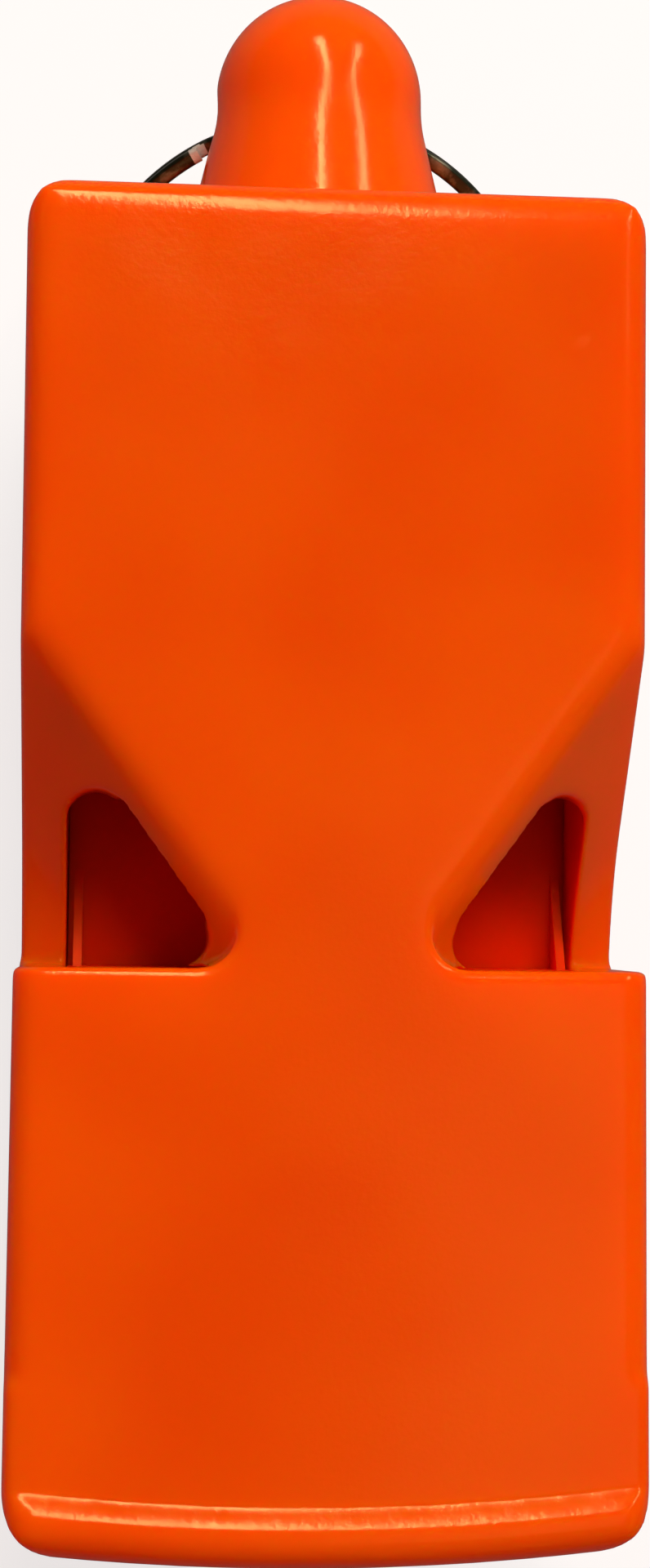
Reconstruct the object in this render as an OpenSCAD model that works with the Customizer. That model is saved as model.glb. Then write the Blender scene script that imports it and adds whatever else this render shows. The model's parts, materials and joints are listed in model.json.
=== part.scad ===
// Pealess sports whistle with two side chambers, one lower chamber and a split ring.
// Up is +Z, the blowing end points along -Y and the lug along +Y.
// The origin lies under the middle of the whole length, on the surface that the belly rests on.

/* [Body] */
// Width across the side walls
body_w = 20.6; // [19:0.1:23]
// Length from the step at the windows to the rear wall
body_l = 25.8; // [24:0.1:30]
// Height from the resting face of the belly to the flat top
total_h = 20; // [19.2:0.1:21.4]
// Thickness of the side, rear and belly walls
wall = 1.55; // [1.3:0.05:1.8]
// Thickness of the roof over the side chambers
roof_t = 1.1; // [0.9:0.05:1.25]
// Rounding of the upper edges
edge_r = 0.9; // [0.5:0.1:1.2]
// Rounding of the rear corners seen from above
corner_r = 1.5; // [1:0.1:2.2]
// Rounding of the long lower edges of the belly
belly_r = 1.2; // [0.6:0.1:1.4]

/* [Mouthpiece] */
// Length from the blowing edge to the step
mouth_l = 19.2; // [17:0.1:22]
// Height from the flat top to the underside
mouth_h = 10.5; // [10:0.1:11.5]
// Width at the step
mouth_rear_w = 20.75; // [19.2:0.05:23.2]
// Width at the blowing edge
mouth_tip_w = 20.95; // [19.2:0.05:23.2]
// Thickness of the mouthpiece's side walls at the step
mouth_wall = 1.6; // [1.3:0.05:1.8]
// Radius of the bowed blowing edge seen from above
mouth_bow_r = 85; // [60:1:150]
// Rounding of the two front corners seen from above
mouth_corner_r = 2.1; // [1.2:0.1:2.4]
// Radius of the rounded bite bead
bead_r = 1.1; // [0.9:0.1:1.6]
// How far the bead stands proud above and below
bead_rise = 0.45; // [0.2:0.05:0.6]
// Thickness of the plastic above the upper air ducts
duct_roof_t = 1.3; // [1:0.05:1.5]
// Thickness of the plate under the lower air duct
mouth_floor_t = 1.1; // [0.9:0.05:1.4]
// Height of every air duct
duct_h = 1.1; // [0.8:0.05:1.3]

/* [Scoops and windows] */
// Angle between a scoop's upper border and the whistle's length
scoop_turn = 35.9; // [34:0.1:40]
// Distance from the step to where the border meets the side wall
scoop_l = 11.5; // [11:0.1:14]
// Slope of the scoop below its border
scoop_slope = 50; // [44:1:54]
// Width of the straight slope before it flattens
scoop_straight = 4; // [3.6:0.1:5]
// Radius of the hollow lower part of the scoop
scoop_hollow_r = 5.8; // [5:0.1:8]
// Radius of the soft upper border
scoop_border_r = 1.4; // [0.8:0.1:2.4]
// Rounding of the scoop's inner corner at the step
scoop_corner_r = 1.2; // [0.6:0.1:1.6]
// Rounding of the window corners
window_r = 0.95; // [0.6:0.05:1.2]
// How far the fillets in those corners reach under the roof
gusset_lap = 0.6; // [0.4:0.05:0.8]

/* [Insert] */
// Thickness of the divider between the upper and lower chambers
divider_t = 1.2; // [1:0.05:1.5]
// Thickness of the web between the two side chambers
web_t = 1.4; // [1:0.1:2]
// Half width of the bridge between the upper ducts at the blowing edge
bridge_tip = 1.6; // [1:0.1:2.4]
// Half width of that bridge at the step
bridge_rear = 3.9; // [3:0.1:4.4]
// Length of the left side chamber
left_chamber_l = 23.4; // [20:0.1:23.4]
// Length of the right side chamber
right_chamber_l = 20.2; // [17:0.1:22]
// Thickness of the chamber end stops and of the core's plates
stop_t = 1.2; // [0.8:0.1:1.2]
// Thickness of the upright fin beside each window
fin_t = 0.3; // [0.25:0.05:0.5]
// Gap between that fin and the side wall
fin_gap = 0.24; // [0.1:0.02:0.4]
// Length of the fin
fin_l = 3.4; // [2.5:0.1:4.5]
// Height of the fin at the step
fin_h = 1.6; // [1:0.1:2]

/* [Belly] */
// Slope of the belly's front face above the resting surface
ramp_slope = 64; // [58:1:68]
// Thickness of the belly's floor and sloped faces
belly_t = 1.4; // [1.2:0.05:1.7]
// How far the seam between housing and belly cover lies under the rear wall's lower corner
seam_under = 1.85; // [1.4:0.05:2.4]
// Distance from the step to where the seam drops
seam_drop = 3.7; // [3:0.1:5]
// Length of the lower window
low_window_l = 3.3; // [2.5:0.1:4]
// Width of the lower window
low_window_w = 14.4; // [12:0.1:15]
// Thickness of the cover's locating lip
lip_t = 0.75; // [0.6:0.05:0.9]

/* [Lug] */
// Length of the lug behind the rear wall
lug_l = 9.8; // [9.4:0.1:11]
// Radius of the lug at its round end
lug_r = 3.8; // [3.6:0.1:4.2]
// Slope of the lug's widening root
lug_slope = 13.5; // [8:0.5:18]
// Distance behind the rear wall at which the lug starts to widen
lug_root_l = 5.8; // [5:0.1:6]
// Radius of the bend where it starts to widen
lug_bend_r = 6; // [3:0.5:10]
// Depth of the lug's axis under the flat top
lug_drop = 10.45; // [10.2:0.05:10.8]
// Radius of the ring hole
hole_r = 1.35; // [1.2:0.05:1.5]
// Distance of the ring hole behind the rear wall
hole_out = 5.1; // [4.9:0.05:5.3]
// Depth of the ring hole under the flat top
hole_drop = 11.55; // [11.3:0.05:11.8]
// Widening of the hole's mouths
hole_flare = 0.15; // [0.1:0.05:0.25]

/* [Split ring] */
// Outer radius of the ring
ring_r = 9; // [8.7:0.05:9.3]
// Wire thickness measured across the ring
wire_w = 0.55; // [0.5:0.05:0.7]
// Wire thickness measured along the ring's axis
wire_t = 0.45; // [0.4:0.05:0.5]
// Rounding of the wire's edges
wire_round = 0.12; // [0.08:0.01:0.16]
// Gap between the two turns
turn_gap = 0.04; // [0.03:0.01:0.06]
// Angle over which the wire steps from one turn to the other
step_turn = 25; // [20:1:32]
// Place of the wire's upper cut end, counted from the ring's right
end_turn = 120; // [110:1:150]

/* [Clearances] */
// Gap between nested walls of the three mouldings
fit = 0.05; // [0.03:0.01:0.08]
// Height of the ring's lowest point over the resting surface
ring_float = 0.1; // [0.05:0.01:0.15]
// Gap between the resting ring and the belly's sloped rear
ring_gap = 0.65; // [0.5:0.05:1]

/* [Hidden] */
$fn = 64;
shell_colour = "orangered";
steel_colour = "dimgray";
over = 1;
arc_steps = 6;

// Places along the length
total_l = mouth_l + body_l + lug_l;
y_tip = -total_l / 2;
y_step = y_tip + mouth_l;
y_rear = y_step + body_l;

// Widths inside and outside
half_w = body_w / 2;
room_half = min(half_w - wall, mouth_rear_w / 2 - mouth_wall);
insert_half = room_half - fit;

// Heights
mouth_z = total_h - mouth_h;
duct_floor_z = mouth_z + mouth_floor_t;
divider_z = duct_floor_z + duct_h;
chamber_z = divider_z + divider_t;
upper_duct_top = total_h - duct_roof_t;
core_top = upper_duct_top - duct_h;
roof_z = total_h - roof_t;

// The ring leans forward against the surface on which the whistle lies
hole = [y_rear + hole_out, total_h - hole_drop];
bundle_t = 2 * wire_t + turn_gap;
wire_mid_r = ring_r - wire_w / 2;
hole_sag = wire_mid_r - sqrt(wire_mid_r * wire_mid_r - lug_r * lug_r);
ring_offset = ring_r - (wire_w + hole_sag) / 2;
reach = ring_offset + ring_r;
lean = atan2(bundle_t / 2, reach)
    + acos((hole[1] - ring_float) / norm([reach, bundle_t / 2]));
tail_slope = 90 - lean;

// Outline of the belly seen from the side
tail_gap = ring_gap + bundle_t / 2;
tail_top = hole[1] - hole_out * tan(tail_slope) + tail_gap / cos(tail_slope);
tail_low = y_rear - tail_top / tan(tail_slope);
seam_z = tail_top - seam_under;
ramp_low = y_step + mouth_z / tan(ramp_slope);
labium_z = duct_floor_z + duct_h / 2;
labium_y = y_step - (labium_z - mouth_z) / tan(ramp_slope);
seam_drop_y = y_step + seam_drop;

// The scoop's border runs along a line, and its depth follows the distance from that line
scoop_dir = [sin(scoop_turn), cos(scoop_turn)];
scoop_out = [cos(scoop_turn), -sin(scoop_turn)];
scoop_start = [half_w, y_step + scoop_l];
hollow_turn = 30;
edge_run = roof_t / tan(scoop_slope);

function dir(a) = [cos(a), sin(a)];

function arc_points(c, r, a0, a1, steps) =
    [for (i = [0:steps]) c + r * dir(a0 + (a1 - a0) * i / steps)];

// Where the line through p along u meets the line through q along v
function meet(p, u, q, v) =
    p + u * ((q[0] - p[0]) * v[1] - (q[1] - p[1]) * v[0]) / (u[0] * v[1] - u[1] * v[0]);

// A length-wise outline (y, z), extruded across the whistle
module across(width) {
    rotate([90, 0, 90])
        linear_extrude(width, center = true)
            children();
}

// A cross-section (x, z), extruded along the whistle from y0 to y1
module along(y0, y1) {
    translate([0, y1, 0])
        rotate([90, 0, 0])
            linear_extrude(y1 - y0)
                children();
}

// A cross-section with four rounded edges
module rounded_section(half, z0, z1, low_r, high_r) {
    polygon(concat(
        arc_points([half - high_r, z1 - high_r], high_r, 0, 90, arc_steps),
        arc_points([high_r - half, z1 - high_r], high_r, 90, 180, arc_steps),
        arc_points([low_r - half, z0 + low_r], low_r, 180, 270, arc_steps),
        arc_points([half - low_r, z0 + low_r], low_r, 270, 360, arc_steps)
    ));
}

// The outer body behind the step, before the scoops are cut
module body_form() {
    intersection() {
        across(body_w + over)
            polygon(concat(
                [[y_step, mouth_z], [ramp_low, 0], [tail_low, 0], [y_rear, tail_top]],
                arc_points([y_rear - edge_r, total_h - edge_r], edge_r, 0, 90, arc_steps),
                [[y_step, total_h]]
            ));
        along(y_step, y_rear)
            rounded_section(half_w, 0, total_h, belly_r, edge_r);
        linear_extrude(total_h + over)
            polygon(concat(
                arc_points([half_w - corner_r, y_rear - corner_r], corner_r, 0, 90, arc_steps),
                arc_points([corner_r - half_w, y_rear - corner_r], corner_r, 90, 180, arc_steps),
                [[-half_w, y_step], [half_w, y_step]]
            ));
    }
}

// The mouthpiece's side walls, turned outward by the flare, with rounded long edges
module mouth_sides(z0, z1, edge) {
    flare = atan2(mouth_tip_w - mouth_rear_w, 2 * mouth_l);
    middle = (mouth_tip_w + mouth_rear_w) / 4;
    intersection_for (side = [-1, 1]) {
        translate([0, y_tip + mouth_l / 2, 0])
            rotate([0, 0, side * flare])
                translate([side * (middle - mouth_tip_w), 0, 0])
                    along(-mouth_l, mouth_l)
                        rounded_section(mouth_tip_w, z0, z1, edge, edge);
    }
}

// How far the bowed edge falls back at a distance from the middle
function bow_back(x) = mouth_bow_r - sqrt(mouth_bow_r * mouth_bow_r - x * x);

// Front edge, bead and blowing face, swept along the bow
module mouth_front() {
    spread = 2 * asin((mouth_tip_w / 2 + over) / mouth_bow_r);
    bead_in = mouth_bow_r - bead_r;
    cap_in = mouth_bow_r - 2 * mouth_corner_r - bead_r;
    top_c = [bead_in, total_h + bead_rise - bead_r];
    low_c = [bead_in, mouth_z - bead_rise + bead_r];
    back = asin((bead_r - bead_rise) / bead_r);
    translate([0, y_tip + mouth_bow_r, 0])
        rotate([0, 0, 270 - spread / 2])
            rotate_extrude(angle = spread, $fn = 360)
                polygon(concat(
                    arc_points(top_c, bead_r, 0, 180 - back, 2 * arc_steps),
                    [[cap_in, total_h], [cap_in, mouth_z]],
                    arc_points(low_c, bead_r, 180 + back, 360, 2 * arc_steps)
                ));
}

// The outer mouthpiece ahead of the step
module mouth_form() {
    front_w = mouth_tip_w / 2 + over;
    cap_l = mouth_corner_r + bead_r;
    corner_x = mouth_tip_w / 2 - mouth_corner_r;
    corner_y = y_tip + bow_back(corner_x) + mouth_corner_r;
    intersection() {
        mouth_front();
        mouth_sides(mouth_z - bead_rise, total_h + bead_rise, bead_r);
        linear_extrude(total_h + over)
            polygon(concat(
                arc_points([-corner_x, corner_y], mouth_corner_r, 180, 270, arc_steps),
                [[0, y_tip - mouth_corner_r / 2]],
                arc_points([corner_x, corner_y], mouth_corner_r, 270, 360, arc_steps),
                [[front_w, y_tip + 2 * cap_l], [-front_w, y_tip + 2 * cap_l]]
            ));
    }
    intersection() {
        mouth_sides(mouth_z, total_h, edge_r);
        along(y_tip + cap_l, y_step)
            square([mouth_tip_w + over, 2 * (total_h + over)], center = true);
    }
}

// The shape that a scoop takes away, on the right side
module scoop_cut() {
    soft_run = scoop_border_r * tan(scoop_slope / 2);
    straight_z = -scoop_straight * tan(scoop_slope);
    hollow_c = [
        scoop_straight + scoop_hollow_r * sin(scoop_slope),
        straight_z + scoop_hollow_r * cos(scoop_slope)
    ];
    deep_run = hollow_c[0] + over;
    profile = concat(
        [[-soft_run, over]],
        arc_points([-soft_run, -scoop_border_r], scoop_border_r, 90, 90 - scoop_slope, arc_steps),
        arc_points(hollow_c, scoop_hollow_r, 270 - scoop_slope, 270 - scoop_slope + hollow_turn, arc_steps),
        [[deep_run, hollow_c[1] - scoop_hollow_r], [deep_run, over]]
    );
    length = scoop_l + body_w;
    corner_c = [corner_place() + scoop_corner_r, y_step + scoop_corner_r];
    intersection() {
        translate([scoop_start[0], scoop_start[1], total_h])
            rotate([0, 0, -scoop_turn])
                translate([0, length / 2, 0])
                    rotate([90, 0, 0])
                        linear_extrude(2 * length)
                            polygon(profile);
        linear_extrude(total_h + over)
            polygon(concat(
                arc_points(corner_c, scoop_corner_r, 270, 180, arc_steps),
                [[corner_place(), y_rear], [body_w, y_rear], [body_w, y_step]]
            ));
    }
}

// Where the scoop's inner corner starts at the step, measured from the middle
function corner_place() = half_w - scoop_l * tan(scoop_turn) + scoop_corner_r;

module both_sides() {
    children();
    mirror([1, 0, 0])
        children();
}

// Fillets in a window's two inner corners, hung from the roof, on the right side
module window_gussets() {
    window_line = scoop_start + scoop_out * edge_run;
    arc_line = window_line + scoop_out * window_r;
    lap_line = window_line - scoop_out * gusset_lap;
    lap_r = window_r + gusset_lap;
    rear_c = meet(arc_line, scoop_dir, [room_half - window_r, y_step], [0, 1]);
    step_c = meet(arc_line, scoop_dir, [room_half, y_step + window_r], [1, 0]);
    low = total_h - (edge_run + 2 * window_r) * tan(scoop_slope);
    translate([0, 0, low])
        linear_extrude(roof_z + roof_t / 2 - low) {
            polygon(concat(
                [rear_c + lap_r * dir(0)],
                arc_points(rear_c, window_r, 0, 180 - scoop_turn, arc_steps),
                [
                    rear_c + lap_r * dir(180 - scoop_turn),
                    meet(lap_line, scoop_dir, [room_half + gusset_lap, y_step], [0, 1])
                ]
            ));
            polygon(concat(
                [step_c + lap_r * dir(180 - scoop_turn)],
                arc_points(step_c, window_r, 180 - scoop_turn, 270, arc_steps),
                [meet(lap_line, scoop_dir, [room_half, y_step], [1, 0])]
            ));
        }
}

// Seam between the housing and the belly cover, as the outline of what lies above it
module above_seam() {
    across(3 * body_w)
        polygon([
            [y_tip - over, duct_floor_z],
            [seam_drop_y, duct_floor_z],
            [seam_drop_y, seam_z],
            [y_rear + lug_l + over, seam_z],
            [y_rear + lug_l + over, total_h + 2 * over],
            [y_tip - over, total_h + 2 * over]
        ]);
}

// The room inside the housing, open below
module housing_room() {
    inner = meet([tail_low, wall / cos(tail_slope)], dir(tail_slope), [y_rear - wall, 0], [0, 1]);
    low = meet([tail_low, wall / cos(tail_slope)], dir(tail_slope), [0, 0], [1, 0]);
    across(2 * room_half)
        polygon([
            [y_tip - over, -over],
            [y_tip - over, upper_duct_top],
            [y_step, upper_duct_top],
            [y_step, roof_z],
            [y_rear - wall, roof_z],
            inner,
            low,
            [low[0], -over]
        ]);
}

// The lug, turned about its own axis, with its root trimmed in line with the rear wall's lower corner
module lug() {
    lug_z = total_h - lug_drop;
    ball_y = lug_l - lug_r;
    root_in = wall / 2;
    bend_c = [lug_r + lug_bend_r, lug_root_l];
    bend_end = bend_c + lug_bend_r * dir(180 + lug_slope);
    root_r = bend_end[0] + (bend_end[1] + root_in) * tan(lug_slope);
    difference() {
        intersection() {
            translate([0, y_rear, lug_z])
                rotate([-90, 0, 0])
                    rotate_extrude($fn = 96)
                        intersection() {
                            translate([0, -root_in])
                                square([2 * root_r, lug_l + 2 * root_in]);
                            union() {
                                translate([0, ball_y])
                                    circle(lug_r);
                                polygon(concat(
                                    [[0, -root_in], [root_r, -root_in]],
                                    arc_points(bend_c, lug_bend_r, 180 + lug_slope, 180, arc_steps),
                                    [[lug_r, ball_y], [0, ball_y]]
                                ));
                            }
                        }
            across(4 * lug_r)
                polygon([
                    [y_rear - wall, tail_top + wall],
                    [y_rear, tail_top],
                    [y_rear + lug_root_l / 2, lug_z - root_r],
                    [y_rear + lug_l + over, lug_z - root_r],
                    [y_rear + lug_l + over, total_h],
                    [y_rear - wall, total_h]
                ]);
        }
        translate([0, hole[0], hole[1]])
            rotate([0, 90, 0])
                cylinder(r = hole_r, h = 4 * lug_r, center = true);
        for (side = [-1, 1])
            translate([side * lug_r, hole[0], hole[1]])
                rotate([0, side * 90, 0])
                    cylinder(r1 = hole_r, r2 = hole_r + 2 * hole_flare, h = 2 * hole_flare, center = true);
    }
}

module top_housing() {
    color(shell_colour)
        union() {
            difference() {
                intersection() {
                    union() {
                        body_form();
                        mouth_form();
                    }
                    above_seam();
                }
                difference() {
                    housing_room();
                    both_sides()
                        window_gussets();
                }
                both_sides()
                    scoop_cut();
            }
            lug();
        }
}

// Box from one corner to the other
module block(low, high) {
    translate(low)
        cube(high - low);
}

module chamber_insert() {
    rear_y = y_rear - wall - fit;
    left_y = min(y_step + left_chamber_l, rear_y - stop_t);
    right_y = min(y_step + right_chamber_l, rear_y - stop_t);
    core_rear = y_step - fit;
    skirt = low_window_w / 2;
    fin_x = room_half - fin_gap - fin_t;
    color(shell_colour)
        difference() {
            union() {
                // Divider plate and centre web
                block([-insert_half, core_rear - stop_t, divider_z], [insert_half, rear_y, chamber_z]);
                block([-web_t / 2, core_rear - stop_t, chamber_z - fit], [web_t / 2, rear_y, roof_z]);
                // End stops of the two side chambers
                block([-insert_half, left_y, chamber_z - fit], [-web_t / 4, left_y + stop_t, roof_z]);
                block([web_t / 4, right_y, chamber_z - fit], [insert_half, right_y + stop_t, roof_z]);
                // Core between the upper and lower ducts, with the blowing face at its front
                intersection() {
                    mouth_form();
                    block([-insert_half, y_tip - over, divider_z], [insert_half, core_rear, core_top]);
                }
                // Bridge that splits the upper duct in two
                intersection() {
                    mouth_form();
                    translate([0, 0, core_top - fit])
                        linear_extrude(duct_h + fit)
                            polygon([
                                [-bridge_tip, y_tip - over], [bridge_tip, y_tip - over],
                                [bridge_rear, core_rear], [-bridge_rear, core_rear]
                            ]);
                }
                // Skirts beside the lower duct, which stand on the cover's front plate
                for (side = [-1, 1])
                    intersection() {
                        mouth_form();
                        translate([side * (skirt + insert_half) / 2, 0, 0])
                            block(
                                [-(insert_half - skirt) / 2, y_tip - over, duct_floor_z],
                                [(insert_half - skirt) / 2, labium_y - low_window_l / 4, divider_z + fit]
                            );
                    }
                // Fins beside the windows
                for (side = [-1, 1])
                    translate([side * (fin_x + fin_t / 2), 0, 0])
                        across(fin_t)
                            polygon([
                                [core_rear - fit, chamber_z - fit],
                                [core_rear + fin_l, chamber_z - fit],
                                [core_rear - fit, chamber_z + fin_h]
                            ]);
            }
            // Pockets that leave the core as thin walls, open to both sides
            for (side = [-1, 1])
                translate([side * (web_t / 2 + insert_half), 0, 0])
                    block(
                        [-insert_half, y_tip + wall + bow_back(insert_half), chamber_z],
                        [insert_half, core_rear - stop_t, core_top - stop_t]
                    );
        }
}

// Ramp with the labium at its upper end, across the whole room
module ramp_wall() {
    slope_u = dir(180 - ramp_slope);
    thick = belly_t / sin(ramp_slope);
    sharp_run = 2 * belly_t;
    top = [labium_y, labium_z];
    full = top - slope_u * sharp_run;
    across(2 * insert_half)
        polygon([
            top,
            full + [thick, 0],
            [ramp_low + thick, 0],
            [ramp_low, 0]
        ]);
}

module belly_cover() {
    lip_half = insert_half - lip_t;
    lip_top = divider_z;
    rear_y = y_rear - wall - fit;
    outer_t = wall + fit;
    inner_t = wall + fit + lip_t;
    outer_corner = meet([tail_low, outer_t / cos(tail_slope)], dir(tail_slope), [rear_y, 0], [0, 1]);
    outer_low = meet([tail_low, outer_t / cos(tail_slope)], dir(tail_slope), [0, belly_t], [1, 0]);
    inner_corner = meet([tail_low, inner_t / cos(tail_slope)], dir(tail_slope), [rear_y - lip_t, 0], [0, 1]);
    inner_low = meet([tail_low, inner_t / cos(tail_slope)], dir(tail_slope), [0, belly_t], [1, 0]);
    ramp_in = ramp_low + belly_t / sin(ramp_slope);
    ramp_top = labium_y + belly_t / sin(ramp_slope);
    front_lip = y_step + wall;
    color(shell_colour)
        difference() {
            union() {
                difference() {
                    union() {
                        body_form();
                        mouth_form();
                    }
                    above_seam();
                }
                // Lip and sloped inner faces that nest inside the housing
                intersection() {
                    across(2 * insert_half)
                        polygon([
                            [front_lip, lip_top],
                            [ramp_low, belly_t / 2],
                            [outer_low[0], belly_t / 2],
                            outer_low,
                            outer_corner,
                            [rear_y, lip_top]
                        ]);
                    block([-insert_half, y_step, 0], [insert_half, rear_y, lip_top]);
                }
                ramp_wall();
            }
            // Lower chamber
            across(2 * lip_half)
                polygon([
                    [ramp_top, labium_z + over],
                    [ramp_top + (labium_z - duct_floor_z) / tan(ramp_slope), duct_floor_z],
                    [ramp_in, belly_t],
                    inner_low,
                    inner_corner,
                    [rear_y - lip_t, labium_z + over]
                ]);
            // Lower window ahead of the labium
            across(low_window_w)
                polygon([
                    [labium_y - low_window_l, mouth_z - over],
                    [labium_y - low_window_l, duct_floor_z + over],
                    [labium_y, labium_z + over],
                    [labium_y, labium_z],
                    [y_step, mouth_z],
                    [y_step + over / tan(ramp_slope), mouth_z - over]
                ]);
        }
}

// Rounded section of the ring's wire, standing at the ring's middle radius
module wire_section() {
    half_t = wire_t / 2 - wire_round;
    half_r = wire_w / 2 - wire_round;
    polygon(concat(
        arc_points([half_r, half_t], wire_round, 0, 90, 2),
        arc_points([-half_r, half_t], wire_round, 90, 180, 2),
        arc_points([-half_r, -half_t], wire_round, 180, 270, 2),
        arc_points([half_r, -half_t], wire_round, 270, 360, 2)
    ));
}

module split_ring() {
    turn_z = (wire_t + turn_gap) / 2;
    half_step = step_turn / 2;
    chord = 2 * wire_mid_r * sin(half_step / 2);
    pitch = atan2(turn_z, chord);
    centre = [0, hole[0] - ring_offset * sin(lean), hole[1] - ring_offset * cos(lean)];
    color(steel_colour)
        translate(centre)
            rotate([tail_slope, 0, 0])
                union() {
                    // The two flat turns, the upper one ending where the wire is seen cut
                    for (side = [-1, 1])
                        translate([0, 0, side * turn_z])
                            rotate([0, 0, end_turn])
                                rotate_extrude(angle = 360 - step_turn, $fn = 180)
                                    translate([wire_mid_r, 0])
                                        wire_section();
                    // The short slanted stretch that joins the turns
                    for (half = [-1, 1])
                        rotate([0, 0, end_turn - half_step + half * half_step / 2])
                            translate([wire_mid_r * cos(half_step / 2), 0, -half * turn_z / 2])
                                rotate([-pitch, 0, 0])
                                    rotate([90, 0, 0])
                                        linear_extrude(chord / cos(pitch) + wire_t / 2, center = true)
                                            wire_section();
                }
}

top_housing();
chamber_insert();
belly_cover();
split_ring();
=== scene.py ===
import bmesh
import bpy
import json
import math
from mathutils import Matrix, Vector


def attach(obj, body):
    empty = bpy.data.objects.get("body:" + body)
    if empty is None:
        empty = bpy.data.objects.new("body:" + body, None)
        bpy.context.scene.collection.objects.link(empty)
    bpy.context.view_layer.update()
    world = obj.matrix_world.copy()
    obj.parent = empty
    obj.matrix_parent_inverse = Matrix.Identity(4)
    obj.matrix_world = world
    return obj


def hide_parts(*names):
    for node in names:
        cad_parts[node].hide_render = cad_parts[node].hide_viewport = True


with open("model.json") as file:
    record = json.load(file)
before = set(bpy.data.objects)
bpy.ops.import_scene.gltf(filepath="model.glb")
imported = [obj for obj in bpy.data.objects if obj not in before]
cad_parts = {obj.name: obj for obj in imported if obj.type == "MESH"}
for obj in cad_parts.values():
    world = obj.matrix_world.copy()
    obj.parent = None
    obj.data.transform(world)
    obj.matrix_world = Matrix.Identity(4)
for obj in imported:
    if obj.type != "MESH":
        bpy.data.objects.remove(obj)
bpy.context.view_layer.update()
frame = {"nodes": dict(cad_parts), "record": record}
mm = 0.001
shots = bpy.context.scene
shots.view_settings.view_transform = "Standard"


# Small helpers

def hexToLinear(code):
    channels = [int(code[i:i + 2], 16) / 255 for i in (1, 3, 5)]
    return tuple(c / 12.92 if c <= 0.04045 else ((c + 0.055) / 1.055) ** 2.4 for c in channels) + (1.0,)


def addNode(tree, kind, settings=None, links=None):
    node = tree.nodes.new(kind)
    for name, value in (settings or {}).items():
        if isinstance(name, int) or name in node.inputs:
            node.inputs[name].default_value = value
        else:
            setattr(node, name, value)
    for name, source in (links or {}).items():
        tree.links.new(source, node.inputs[name])
    return node


def reckon(tree, operation, *terms):
    node = addNode(tree, "ShaderNodeMath", {"operation": operation})
    for i, term in enumerate(terms):
        if isinstance(term, (int, float)):
            node.inputs[i].default_value = term
        else:
            tree.links.new(term, node.inputs[i])
    return node.outputs[0]


def newMaterial(name):
    mat = bpy.data.materials.new(name)
    mat.use_nodes = True
    mat.node_tree.nodes.clear()
    return mat, mat.node_tree


# a place on the piece in millimetres, which every pattern reads
def placeInMm(tree):
    place = addNode(tree, "ShaderNodeTexCoord")
    scaled = addNode(tree, "ShaderNodeVectorMath", {"operation": "SCALE", "Scale": 1 / mm},
                     {0: place.outputs["Object"]})
    return scaled.outputs[0]


def newObject(name, mesh, body):
    obj = bpy.data.objects.new(name, mesh)
    shots.collection.objects.link(obj)
    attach(obj, body)
    return obj


# Camera: above the whistle, a little to its left and towards the blowing end

camera = {
    "place": (-7.31 * mm, -6.74 * mm, 102.32 * mm),
    "lens": 58.63,          # with a 36 mm sensor on the photograph's long side
    "sensor": 36.0,
    "turns": (("Y", -0.0839), ("X", 0.0548), ("Z", 0.01)),
    "near": 1 * mm,
    "far": 10,
}


def makeCamera(facts):
    data = bpy.data.cameras.new("camera")
    data.lens = facts["lens"]
    data.sensor_fit = "VERTICAL"
    data.sensor_height = facts["sensor"]
    data.clip_start = facts["near"]
    data.clip_end = facts["far"]
    cam = bpy.data.objects.new("camera", data)
    shots.collection.objects.link(cam)
    turned = Matrix.Translation(facts["place"])
    for axis, angle in facts["turns"]:
        turned = turned @ Matrix.Rotation(angle, 4, axis)
    cam.matrix_world = turned
    shots.camera = cam


makeCamera(camera)
print("camera is set")


# Light and floor

# Each lamp faces the whistle. Its length runs along "run", and "glow" is its brightness beside a white wall's
lamps = {
    # big soft box behind and to the right: it leaves the scoops in shade and shows in no reflection
    "key": {"place": (0.15, 0.37, 0.43), "size": (0.36, 0.26), "run": (1, 0, 0),
            "glow": 7.4, "tint": "#FFF8EE", "mirrored": False},
    # two long tubes running down behind the lug, which draw the lines along it and along the rear-facing edges;
    # the first leans to the left as it goes back, so that the bead mirrors little more than its near end
    "tubeBehind": {"place": (0.0075, 0.355, 0.436), "size": (0.363, 0.042), "run": (-0.213, 0.78, -0.63),
                   "glow": 17.0, "tint": "#FFF0DC"},
    "tubeRight": {"place": (0.30, 0.32, 0.37), "size": (0.36, 0.035), "run": (0, 0.70, -0.71),
                  "glow": 12.5, "tint": "#FFF0DC"},
    # a faint card that the right of the mouthpiece reflects
    "cardRight": {"place": (0.16, -0.11, 0.60), "size": (0.30, 0.19), "run": (0, 1, 0),
                  "glow": 0.4, "tint": "#FFE9CC"},
    # red-orange reflectors at both sides, which open up the shade without greying it
    "fillLeft": {"place": (-0.45, -0.10, 0.25), "size": (0.50, 0.40), "run": (0, 1, 0),
                 "glow": 0.9, "tint": "#FF7040", "mirrored": False},
    "fillRight": {"place": (0.42, -0.25, 0.25), "size": (0.50, 0.40), "run": (0, 1, 0),
                  "glow": 0.7, "tint": "#FF7040", "mirrored": False},
}
wattsPerGlow = 4        # for each square metre of a lamp
aim = Vector((0, 0, 0.015))


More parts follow.
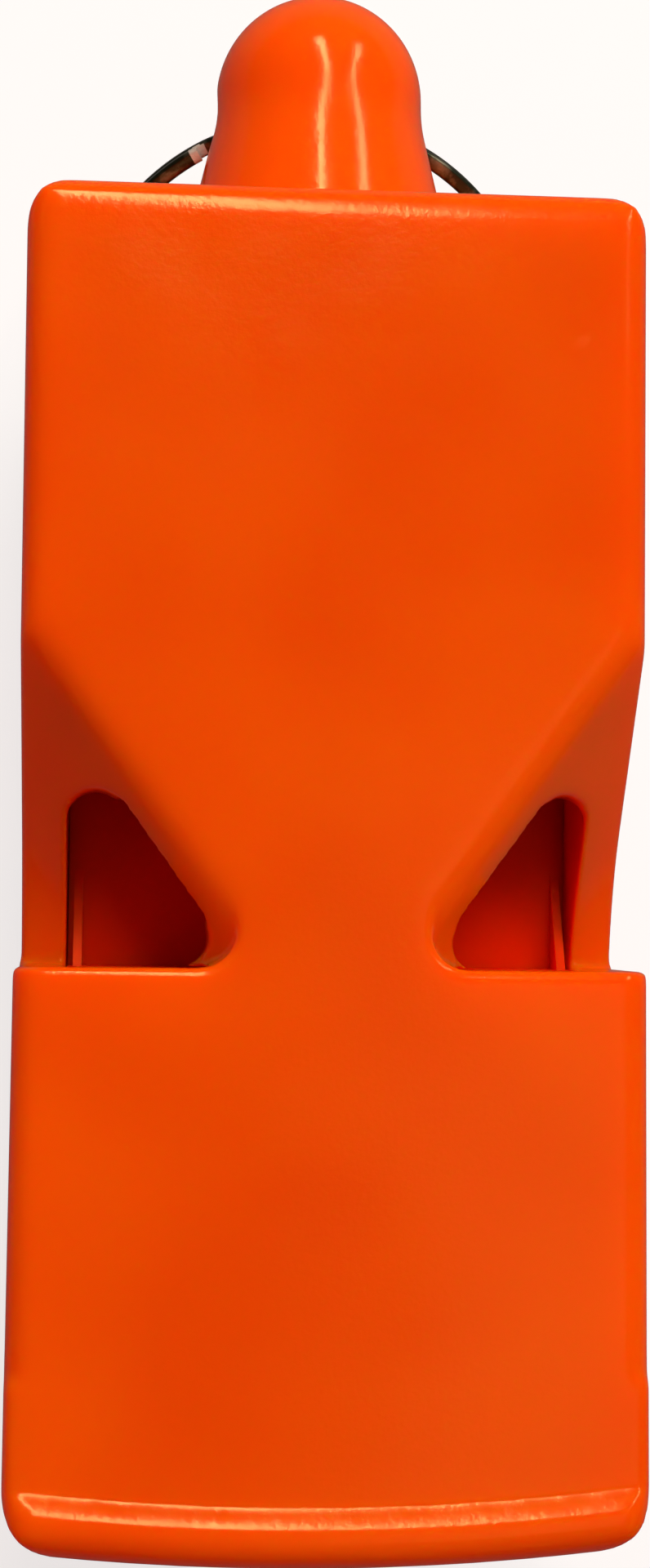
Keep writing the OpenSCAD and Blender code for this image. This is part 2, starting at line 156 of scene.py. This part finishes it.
def makeLamps(facts):
    for name, lamp in facts.items():
        data = bpy.data.lights.new(name, "AREA")
        data.shape = "RECTANGLE"
        data.size, data.size_y = lamp["size"]
        data.energy = wattsPerGlow * lamp["glow"] * data.size * data.size_y
        data.color = hexToLinear(lamp["tint"])[:3]
        obj = bpy.data.objects.new(name, data)
        back = (Vector(lamp["place"]) - aim).normalized()
        run = Vector(lamp["run"])
        run = (run - run.project(back)).normalized()
        turned = Matrix((run, back.cross(run), back)).transposed().to_4x4()
        obj.matrix_world = Matrix.Translation(lamp["place"]) @ turned
        obj.visible_glossy = lamp.get("mirrored", True)
        shots.collection.objects.link(obj)


# A pale wall to the eye and a dim warm room to the whistle
room = {"warm": (0.8, 0.48, 0.30, 1), "strength": 0.08, "seen": (0.93, 0.93, 0.93, 1)}


def makeWorld(facts):
    world = bpy.data.worlds.new("studio")
    world.use_nodes = True
    shots.world = world
    tree = world.node_tree
    tree.nodes.clear()
    path = addNode(tree, "ShaderNodeLightPath").outputs
    dim = addNode(tree, "ShaderNodeBackground", {"Color": facts["warm"], "Strength": facts["strength"]})
    wall = addNode(tree, "ShaderNodeBackground", {"Color": facts["seen"], "Strength": 1.0})
    mix = addNode(tree, "ShaderNodeMixShader", {},
                  {"Fac": path["Is Camera Ray"], 1: dim.outputs[0], 2: wall.outputs[0]})
    addNode(tree, "ShaderNodeOutputWorld", {}, {"Surface": mix.outputs[0]})


# White paper to the eye, a grey card to the light that it throws back, and a dark one in reflections
paper = {
    "half": 1.5,            # of its side, m
    "seen": (0.90, 0.90, 0.90, 1),
    "bounced": (0.30, 0.30, 0.30, 1),
    "mirrored": (0.10, 0.10, 0.10, 1),
    "glowSeen": 0.75,       # how much of it is plain white, whatever the light
    "glowMirrored": 0.05,
}


def makeFloor(facts):
    mat, tree = newMaterial("paleFloor")
    path = addNode(tree, "ShaderNodeLightPath").outputs
    share = reckon(tree, "ADD", reckon(tree, "MULTIPLY", path["Is Camera Ray"], facts["glowSeen"]),
                   reckon(tree, "MULTIPLY", path["Is Glossy Ray"], facts["glowMirrored"]))
    unseen = addNode(tree, "ShaderNodeMix", {"data_type": "RGBA", 6: facts["bounced"], 7: facts["mirrored"]},
                     {0: path["Is Glossy Ray"]})
    colour = addNode(tree, "ShaderNodeMix", {"data_type": "RGBA", 7: facts["seen"]},
                     {0: path["Is Camera Ray"], 6: unseen.outputs[2]})
    matte = addNode(tree, "ShaderNodeBsdfDiffuse", {}, {"Color": colour.outputs[2]})
    glow = addNode(tree, "ShaderNodeEmission", {"Color": (1, 1, 1, 1), "Strength": 1.0})
    mix = addNode(tree, "ShaderNodeMixShader", {}, {"Fac": share, 1: matte.outputs[0], 2: glow.outputs[0]})
    addNode(tree, "ShaderNodeOutputMaterial", {}, {"Surface": mix.outputs[0]})
    half = facts["half"]
    mesh = bpy.data.meshes.new("floor")
    mesh.from_pydata([(-half, -half, 0), (half, -half, 0), (half, half, 0), (-half, half, 0)], [], [(0, 1, 2, 3)])
    mesh.materials.append(mat)
    floor = bpy.data.objects.new("floor", mesh)
    shots.collection.objects.link(floor)


makeLamps(lamps)
makeWorld(room)
makeFloor(paper)
print("lamps and floor are set")


# Materials

plastic = {
    "colour": "#EC5802",
    "shade": "#E44E01",
    "clouds": 0.12,                 # drifts between both colours for each mm, so they are about 8 mm across
    "rough": 0.14,
    "rubbed": 0.4,                  # duller and glossier patches for each mm, about 2.5 mm across
    "ior": 1.53,
    "tint": "#FFD890",
    "bleed": (2.4, 0.16, 0.03),     # how far red, green and blue light wander in it, mm
    "waves": 0.12,                  # height of the slow sink waves, mm, drawn ten times as high so that they show
    "waving": 0.11,                 # and how many for each mm, about 9 mm across
    "grain": 0.008,                 # height of the fine grain of the mould, mm, drawn four times as high
    "grains": 3.5,                  # and how many for each mm, coarser than the real ones so that they show
    # small dents, as place, radius and depth in mm: near the right rear corner, right of the middle and on the lug
    "dents": (((7.85, 12.75, 20.0), 0.5, 0.016), ((4.9, 5.6, 20.0), 0.5, 0.008), ((0.15, 26.3, 11.3), 0.35, 0.03)),
}


# Injection-moulded orange ABS: glossy, a little wavy where it shrank, finely grained and faintly scuffed
def mouldedAbs(name, facts):
    mat, tree = newMaterial(name)
    spot = placeInMm(tree)
    clouds = addNode(tree, "ShaderNodeTexNoise", {"Scale": facts["clouds"], "Detail": 1.0}, {"Vector": spot})
    spread = addNode(tree, "ShaderNodeMapRange", {"From Min": 0.3, "From Max": 0.6}, {"Value": clouds.outputs["Fac"]})
    colour = addNode(tree, "ShaderNodeMix",
                     {"data_type": "RGBA", 6: hexToLinear(facts["shade"]), 7: hexToLinear(facts["colour"])},
                     {0: spread.outputs[0]})
    waves = addNode(tree, "ShaderNodeTexNoise", {"Scale": facts["waving"], "Detail": 1.0}, {"Vector": spot})
    slow = addNode(tree, "ShaderNodeBump", {"Strength": 1.0, "Distance": facts["waves"] * mm},
                   {"Height": waves.outputs["Fac"]})
    grain = addNode(tree, "ShaderNodeTexNoise", {"Scale": facts["grains"], "Detail": 3.0, "Roughness": 0.6},
                    {"Vector": spot})
    fine = addNode(tree, "ShaderNodeBump", {"Strength": 1.0, "Distance": facts["grain"] * mm},
                   {"Height": grain.outputs["Fac"], "Normal": slow.outputs["Normal"]})
    surface = fine.outputs["Normal"]
    for centre, radius, depth in facts["dents"]:
        away = addNode(tree, "ShaderNodeVectorMath", {"operation": "DISTANCE", 1: centre}, {0: spot})
        hollow = addNode(tree, "ShaderNodeMapRange", {"interpolation_type": "SMOOTHSTEP", "From Max": radius},
                         {"Value": away.outputs["Value"]})
        surface = addNode(tree, "ShaderNodeBump", {"Strength": 1.0, "Distance": depth * mm},
                          {"Height": hollow.outputs[0], "Normal": surface}).outputs["Normal"]
    rubbed = addNode(tree, "ShaderNodeTexNoise", {"Scale": facts["rubbed"], "Detail": 3.0}, {"Vector": spot})
    rough = addNode(tree, "ShaderNodeMapRange",
                    {"From Min": 0.3, "From Max": 0.7,
                     "To Min": facts["rough"] - 0.03, "To Max": facts["rough"] + 0.05},
                    {"Value": rubbed.outputs["Fac"]})
    shader = addNode(tree, "ShaderNodeBsdfPrincipled", {
        "IOR": facts["ior"],
        "Specular Tint": hexToLinear(facts["tint"]),
        "Subsurface Weight": 1.0,
        "Subsurface Radius": facts["bleed"],
        "Subsurface Scale": 1 * mm,
    }, {"Base Color": colour.outputs[2], "Roughness": rough.outputs[0], "Normal": surface})
    addNode(tree, "ShaderNodeOutputMaterial", {}, {"Surface": shader.outputs[0]})
    return mat


# the insert is the same ABS, but unpolished and lit only through the windows, so it looks dull; its colours and
# reflection tint are painted a deeper red than the shell's, as painted shade
insertPlasticPaintedShade = {**plastic, "colour": "#F02800", "shade": "#E62200", "rough": 0.35, "tint": "#FF7838"}

wire = {
    "colour": "#414A3B",
    "worn": "#9C9C88",
    "rough": 0.24,
    "spots": 0.9,           # rubbed spots for each mm, about 1 mm across
    "scratches": 14.0,      # fine marks for each mm
    "scratched": 0.004,     # and their depth, mm
    "cut": "#E6E4DC",
    "tears": 9.0,           # marks of the shear for each mm
    "torn": 0.02,           # and their depth, mm
}


# Nickel-plated spring steel, drawn flat and wound: darkened by handling, with brighter rubbed spots
def springSteel(name, facts):
    mat, tree = newMaterial(name)
    spot = placeInMm(tree)
    spots = addNode(tree, "ShaderNodeTexNoise", {"Scale": facts["spots"], "Detail": 4.0, "Roughness": 0.6},
                    {"Vector": spot})
    worn = addNode(tree, "ShaderNodeMapRange", {"From Min": 0.52, "From Max": 0.72}, {"Value": spots.outputs["Fac"]})
    colour = addNode(tree, "ShaderNodeMix",
                     {"data_type": "RGBA", 6: hexToLinear(facts["colour"]), 7: hexToLinear(facts["worn"])},
                     {0: worn.outputs[0]})
    rough = addNode(tree, "ShaderNodeMapRange",
                    {"From Min": 0.3, "From Max": 0.7, "To Min": facts["rough"], "To Max": facts["rough"] + 0.18},
                    {"Value": spots.outputs["Fac"]})
    scratch = addNode(tree, "ShaderNodeTexNoise", {"Scale": facts["scratches"], "Detail": 2.0}, {"Vector": spot})
    bump = addNode(tree, "ShaderNodeBump", {"Strength": 0.6, "Distance": facts["scratched"] * mm},
                   {"Height": scratch.outputs["Fac"]})
    shader = addNode(tree, "ShaderNodeBsdfPrincipled", {"Metallic": 1.0},
                     {"Base Color": colour.outputs[2], "Roughness": rough.outputs[0], "Normal": bump.outputs["Normal"]})
    addNode(tree, "ShaderNodeOutputMaterial", {}, {"Surface": shader.outputs[0]})
    return mat


# Bare sheared steel where the wire was cut: pale and half matte, because the torn grains scatter the light
def shearedSteel(name, facts):
    mat, tree = newMaterial(name)
    tears = addNode(tree, "ShaderNodeTexNoise", {"Scale": facts["tears"], "Detail": 3.0}, {"Vector": placeInMm(tree)})
    bump = addNode(tree, "ShaderNodeBump", {"Strength": 0.8, "Distance": facts["torn"] * mm},
                   {"Height": tears.outputs["Fac"]})
    shader = addNode(tree, "ShaderNodeBsdfPrincipled",
                     {"Metallic": 0.5, "Base Color": hexToLinear(facts["cut"]), "Roughness": 0.4},
                     {"Normal": bump.outputs["Normal"]})
    addNode(tree, "ShaderNodeOutputMaterial", {}, {"Surface": shader.outputs[0]})
    return mat


shellMat = mouldedAbs("mouldedOrangeAbs", plastic)
# the insert's material: the shell's ABS with painted shade, its colour a deeper red
insertMat = mouldedAbs("mouldedAbsPaintedShade", insertPlasticPaintedShade)
ringMat = springSteel("nickelPlatedSpringSteel", wire)
endMat = shearedSteel("shearedSteelEnd", wire)
print("materials are made")


# Moulded pieces: the CAD solid with the soft edges that a steel mould leaves

# "grid" is in mm, "soft" says how often the surface is smoothed, and "most" is the limit of triangles
housing = {"node": "top_housing", "slot": "housing_abs", "grid": 0.12, "soft": 18, "most": 190000}
cover = {"node": "belly_cover", "slot": "cover_abs", "grid": 0.2, "soft": 4, "most": 120000}
weld = 0.002 * mm       # points of the CAD mesh nearer than this are one


def applied(obj):
    return bpy.data.meshes.new_from_object(obj.evaluated_get(bpy.context.evaluated_depsgraph_get()))


def softened(name, facts):
    source = frame["nodes"][facts["node"]]
    work = bmesh.new()
    work.from_mesh(source.data)
    bmesh.ops.remove_doubles(work, verts=work.verts, dist=weld)
    mesh = bpy.data.meshes.new(name + "Raw")
    work.to_mesh(mesh)
    work.free()
    raw = bpy.data.objects.new(name + "Raw", mesh)
    shots.collection.objects.link(raw)
    grid = raw.modifiers.new("grid", "REMESH")
    grid.mode = "VOXEL"
    grid.voxel_size = facts["grid"] * mm
    smooth = raw.modifiers.new("soft", "SMOOTH")
    smooth.factor = 0.5
    smooth.iterations = facts["soft"]
    fine = applied(raw)
    triangles = 2 * len(fine.polygons)
    raw.modifiers.clear()
    raw.data = fine
    if triangles > facts["most"]:
        thin = raw.modifiers.new("thin", "DECIMATE")
        thin.ratio = facts["most"] / triangles
        fine = applied(raw)
    bpy.data.objects.remove(raw)
    fine.name = name
    fine.shade_smooth()
    print(name, "triangles:", sum(len(p.vertices) - 2 for p in fine.polygons))
    return fine


def makeMoulded(name, facts, mat):
    mesh = softened(name, facts)
    mesh.materials.clear()
    mesh.materials.append(mat)
    piece = newObject(name, mesh, "whistle")
    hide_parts(facts["node"])


makeMoulded("upperShell", housing, shellMat)
makeMoulded("lowerShell", cover, shellMat)
insert = frame["nodes"]["chamber_insert"]
insert.data.materials.clear()
insert.data.materials.append(insertMat)
print("moulded pieces are made")


# Split ring: one wire wound twice, worked out in the ring's own plane and then leaned onto the lug

coil = {
    "slot": "ring_steel",
    "radius": 9.0,          # outside
    "width": 0.55,          # of the wire, across the ring
    "thick": 0.45,          # of the wire, along the ring's axis
    "edge": 0.12,
    "gap": 0.04,            # between the turns
    "step": 25.0,           # degrees over which the wire changes turns
    "cut": 120.0,           # degrees from the ring's right to its upper cut end
    "bare": 0.42,           # how far from that end the plating is off
    "points": 700,
    "crease": 40.0,         # degrees past which an edge shades sharp
}


def coilTree():
    tree = bpy.data.node_groups.new("splitRing", "GeometryNodeTree")
    kinds = {"Radius": "Float", "Width": "Float", "Thick": "Float", "Edge": "Float", "Gap": "Float", "Step": "Float",
             "Cut": "Float", "Bare": "Float", "Points": "Int", "Slope": "Vector", "Centre": "Vector",
             "Plated": "Material", "Sheared": "Material"}
    for name, kind in kinds.items():
        tree.interface.new_socket(name, in_out="INPUT", socket_type="NodeSocket" + kind)
    tree.interface.new_socket("Geometry", in_out="OUTPUT", socket_type="NodeSocketGeometry")
    given = addNode(tree, "NodeGroupInput").outputs
    # how far along the wire each point is, as an angle
    index = addNode(tree, "GeometryNodeInputIndex").outputs[0]
    sweep = reckon(tree, "SUBTRACT", 4 * math.pi, given["Step"])
    along = reckon(tree, "DIVIDE", reckon(tree, "MULTIPLY", index, sweep),
                   reckon(tree, "SUBTRACT", given["Points"], 1.0))
    angle = reckon(tree, "ADD", along, given["Cut"])
    middle = reckon(tree, "SUBTRACT", given["Radius"], reckon(tree, "MULTIPLY", given["Width"], 0.5))
    lift = reckon(tree, "MULTIPLY", reckon(tree, "ADD", given["Thick"], given["Gap"]), 0.5)
    level = addNode(tree, "ShaderNodeMapRange", {"interpolation_type": "SMOOTHSTEP", "From Max": 2 * math.pi}, {
        "Value": along, "From Min": reckon(tree, "SUBTRACT", 2 * math.pi, given["Step"]),
        "To Min": lift, "To Max": reckon(tree, "MULTIPLY", lift, -1.0)})
    spot = addNode(tree, "ShaderNodeCombineXYZ", {}, {
        "X": reckon(tree, "MULTIPLY", middle, reckon(tree, "COSINE", angle)),
        "Y": reckon(tree, "MULTIPLY", middle, reckon(tree, "SINE", angle)),
        "Z": level.outputs[0]})
    line = addNode(tree, "GeometryNodeMeshLine", {}, {"Count": given["Points"]})
    wound = addNode(tree, "GeometryNodeSetPosition", {}, {"Geometry": line.outputs[0], "Position": spot.outputs[0]})
    path = addNode(tree, "GeometryNodeMeshToCurve", {}, {"Mesh": wound.outputs[0]})
    upright = addNode(tree, "GeometryNodeSetCurveNormal", {"mode": "Z_UP"}, {"Curve": path.outputs[0]})
    # the wire's section, a rectangle with rounded edges
    flat = addNode(tree, "GeometryNodeCurvePrimitiveQuadrilateral", {},
                   {"Width": given["Width"], "Height": given["Thick"]})
    section = addNode(tree, "GeometryNodeFilletCurve", {"mode": "POLY", "Count": 3},
                      {"Curve": flat.outputs[0], "Radius": given["Edge"]})
    solid = addNode(tree, "GeometryNodeCurveToMesh", {"Fill Caps": True},
                    {"Curve": upright.outputs[0], "Profile Curve": section.outputs[0]})
    real = addNode(tree, "GeometryNodeRealizeInstances", {}, {"Geometry": solid.outputs[0]})
    plated = addNode(tree, "GeometryNodeSetMaterial", {}, {"Geometry": real.outputs[0], "Material": given["Plated"]})
    # the plating has come off around the upper cut end
    cutPlace = addNode(tree, "ShaderNodeCombineXYZ", {}, {
        "X": reckon(tree, "MULTIPLY", middle, reckon(tree, "COSINE", given["Cut"])),
        "Y": reckon(tree, "MULTIPLY", middle, reckon(tree, "SINE", given["Cut"])),
        "Z": lift})
    here = addNode(tree, "GeometryNodeInputPosition").outputs[0]
    away = addNode(tree, "ShaderNodeVectorMath", {"operation": "DISTANCE"}, {0: here, 1: cutPlace.outputs[0]})
    bare = reckon(tree, "LESS_THAN", away.outputs["Value"], given["Bare"])
    ended = addNode(tree, "GeometryNodeSetMaterial", {},
                    {"Geometry": plated.outputs[0], "Selection": bare, "Material": given["Sheared"]})
    leaned = addNode(tree, "GeometryNodeTransform", {},
                     {"Geometry": ended.outputs[0], "Translation": given["Centre"], "Rotation": given["Slope"]})
    addNode(tree, "NodeGroupOutput", {}, {"Geometry": leaned.outputs[0]})
    return tree


def makeCoil(facts):
    loop = next(m for m in frame["record"]["mounts"] if m["name"] == "ring_loop")
    tree = coilTree()
    values = {
        "Radius": facts["radius"] * mm, "Width": facts["width"] * mm, "Thick": facts["thick"] * mm,
        "Edge": facts["edge"] * mm, "Gap": facts["gap"] * mm, "Step": math.radians(facts["step"]),
        "Cut": math.radians(facts["cut"]), "Bare": facts["bare"] * mm, "Points": facts["points"],
        "Slope": (math.atan2(loop["axis"][1], -loop["axis"][2]), 0.0, 0.0), "Centre": loop["pos_m"],
        "Plated": ringMat, "Sheared": endMat,
    }
    mesh = bpy.data.meshes.new("splitRingRaw")
    raw = bpy.data.objects.new("splitRingRaw", mesh)
    shots.collection.objects.link(raw)
    maker = raw.modifiers.new("coil", "NODES")
    maker.node_group = tree
    for item in tree.interface.items_tree:
        if item.in_out == "INPUT":
            maker[item.identifier] = values[item.name]
    made = applied(raw)
    raw.modifiers.clear()
    bpy.data.objects.remove(raw)
    made.name = "splitRing"
    made.shade_smooth()
    made.set_sharp_from_angle(angle=math.radians(facts["crease"]))
    piece = newObject("splitRing", made, "ring")
    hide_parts("split_ring")


makeCoil(coil)
print("split ring is made")
